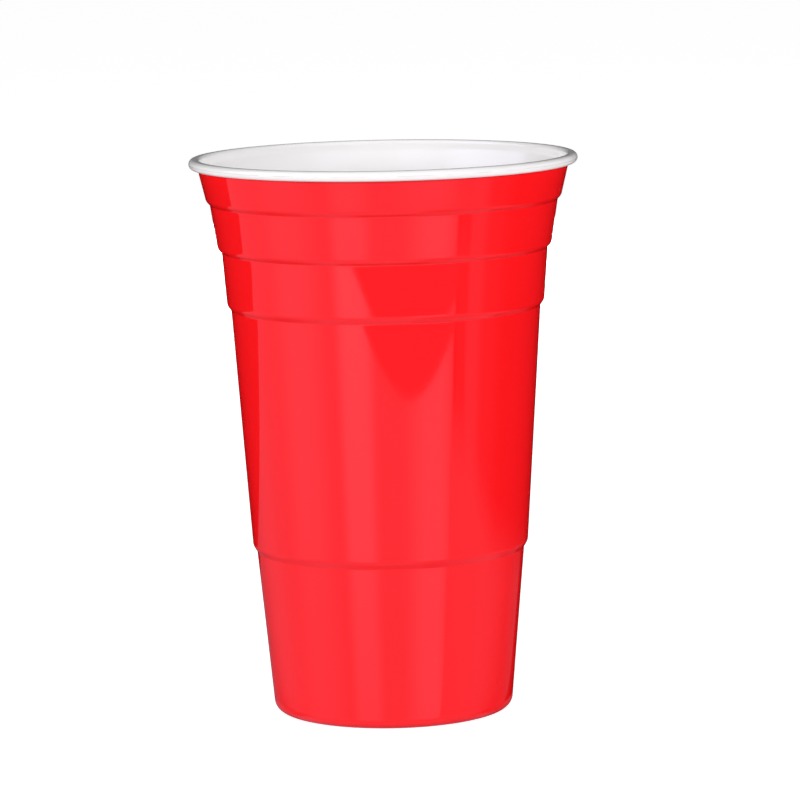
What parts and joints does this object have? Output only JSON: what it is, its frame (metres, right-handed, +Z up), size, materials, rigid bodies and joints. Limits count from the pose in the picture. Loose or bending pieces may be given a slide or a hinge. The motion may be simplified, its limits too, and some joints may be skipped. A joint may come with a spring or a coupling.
{
  "type": "plastic party cup",
  "caption": "Tall tapered drinking cup formed from plastic sheet, red outside and white inside, with ledges round the wall, a raised base and a hollow rolled rim.",
  "frame": {"origin": "centre of the foot ring, on the plane the cup stands on", "axes": "+Z up along the cup's axis, from the foot to the rim; the cup is round, so +X and +Y are any two directions at right angles"},
  "size_m": [0.104, 0.104, 0.15],
  "materials": {
    "cup_sheet": "smooth, high gloss; red outside face, white inside face that also covers the rolled rim"
  },
  "bodies": {
    "root": {"cup": "cup_sheet"}
  },
  "joints": []
}
